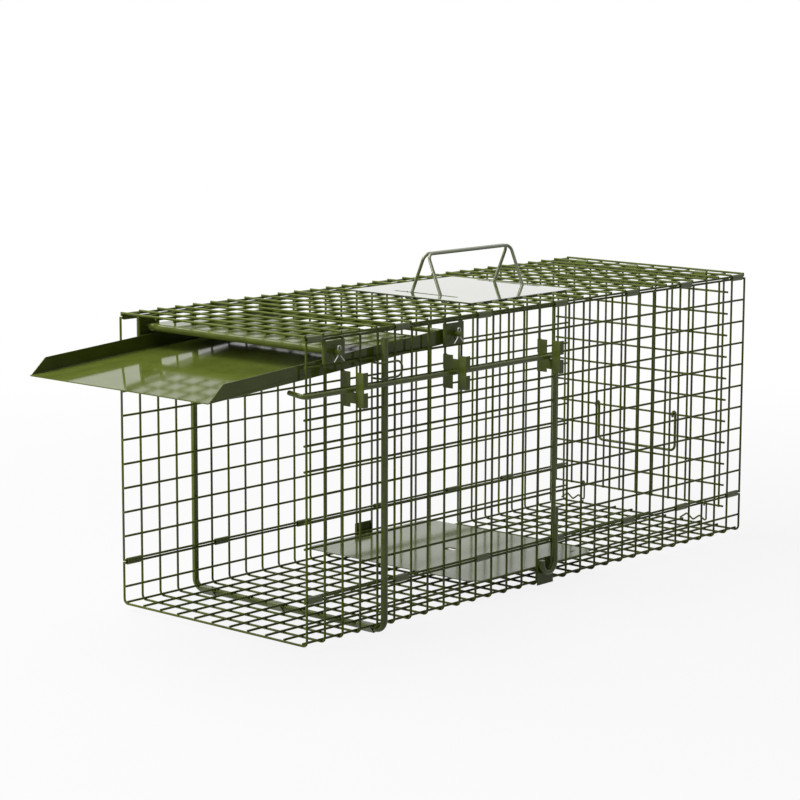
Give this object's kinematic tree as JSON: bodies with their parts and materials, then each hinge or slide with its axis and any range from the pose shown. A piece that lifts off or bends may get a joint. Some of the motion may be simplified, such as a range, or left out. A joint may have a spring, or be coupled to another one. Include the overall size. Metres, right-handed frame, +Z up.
{
  "type": "live catch trap",
  "caption": "Welded-mesh live catch trap with a set gravity front door, lock flap, trigger rod, trip plate, rear door and folding carrying handle.",
  "frame": {"origin": "middle of the whole trap's box, at the ground it stands on", "axes": "+X from the mouth to the rear door, +Y from the trigger's wall to the far wall, +Z up"},
  "size_m": [0.9514, 0.3362, 0.3962],
  "materials": {
    "mesh_paint": "glossy dark olive-green powder coat on welded wire",
    "clip_paint": "glossy dark olive-green powder coat on folded strip clips",
    "rod_paint": "glossy dark olive-green powder coat on bent rod",
    "sheet_paint": "glossy dark olive-green powder coat on sheet",
    "bare_zinc": "bare zinc-plated steel"
  },
  "bodies": {
    "cage": {"near_side_mesh": "mesh_paint", "far_side_mesh": "mesh_paint", "top_mesh": "mesh_paint", "tray_mesh": "mesh_paint", "near_sill_clips": "clip_paint", "far_sill_clips": "clip_paint", "near_roof_clips": "clip_paint", "far_roof_clips": "clip_paint", "rear_door_clips": "clip_paint", "brace_clips": "clip_paint", "brace_frame": "rod_paint", "near_brace_keeper": "rod_paint", "far_brace_keeper": "rod_paint", "front_rod": "rod_paint", "rear_rod": "rod_paint", "shield_plate": "sheet_paint", "front_near_rod_plate": "sheet_paint", "front_far_rod_plate": "sheet_paint", "rear_near_rod_plate": "sheet_paint", "rear_far_rod_plate": "sheet_paint", "front_trigger_bracket": "sheet_paint", "middle_trigger_bracket": "sheet_paint", "rear_trigger_bracket": "sheet_paint", "near_pan_bearing": "sheet_paint", "far_pan_bearing": "sheet_paint", "split_pins": "bare_zinc"},
    "front_door": {"door_panel": "sheet_paint"},
    "lock_flap": {"lock_flap": "sheet_paint"},
    "trigger": {"trigger_rod": "rod_paint"},
    "trip_plate": {"trip_pan": "sheet_paint", "pan_shaft": "rod_paint"},
    "near_handle": {"near_handle_bail": "rod_paint"},
    "far_handle": {"far_handle_bail": "rod_paint"},
    "rear_door": {"rear_door_mesh": "mesh_paint"},
    "rear_pull": {"rear_door_pull": "rod_paint"},
    "near_latch": {"near_rear_latch": "rod_paint"},
    "far_latch": {"far_rear_latch": "rod_paint"}
  },
  "joints": [
    {"name": "front_door_hinge", "type": "hinge", "parent": "cage", "child": "front_door", "pos_m": [-0.09969, 0.01055, 0.32475], "axis": [0, -1, 0], "range_deg": [0, 50]},
    {"name": "lock_flap_hinge", "type": "hinge", "parent": "cage", "child": "lock_flap", "pos_m": [-0.29569, 0.01055, 0.32475], "axis": [0, 1, 0], "range_deg": [0, 25]},
    {"name": "trigger_pivot", "type": "hinge", "parent": "cage", "child": "trigger", "pos_m": [-0.13769, -0.15272, 0.28395], "axis": [-1, 0, 0], "range_deg": [0, 60]},
    {"name": "trip_plate_pivot", "type": "hinge", "parent": "cage", "child": "trip_plate", "pos_m": [0.06691, 0.01055, 0.02275], "axis": [0, 1, 0], "range_deg": [0, 6]},
    {"name": "near_handle_fold", "type": "hinge", "parent": "cage", "child": "near_handle", "pos_m": [0.09631, -0.0181, 0.34205], "axis": [1, 0, 0], "range_deg": [0, 90]},
    {"name": "far_handle_fold", "type": "hinge", "parent": "cage", "child": "far_handle", "pos_m": [0.09631, 0.0392, 0.34205], "axis": [-1, 0, 0], "range_deg": [0, 90]},
    {"name": "rear_door_hinge", "type": "hinge", "parent": "cage", "child": "rear_door", "pos_m": [0.44631, 0.01055, 0.33919], "axis": [0, -1, 0], "range_deg": [0, 85]},
    {"name": "rear_pull_swing", "type": "hinge", "parent": "rear_door", "child": "rear_pull", "pos_m": [0.44631, 0.01475, 0.15439], "axis": [0, -1, 0], "range_deg": [0, 100]},
    {"name": "near_latch_swing", "type": "hinge", "parent": "rear_door", "child": "near_latch", "pos_m": [0.44631, -0.08045, 0.04239], "axis": [0, -1, 0], "range_deg": [0, 70]},
    {"name": "far_latch_swing", "type": "hinge", "parent": "rear_door", "child": "far_latch", "pos_m": [0.44631, 0.11555, 0.04239], "axis": [0, -1, 0], "range_deg": [0, 70]}
  ],
  "couplings": [
    {"joint": "lock_flap_hinge", "follows": "front_door_hinge", "ratio": 0.5}
  ]
}
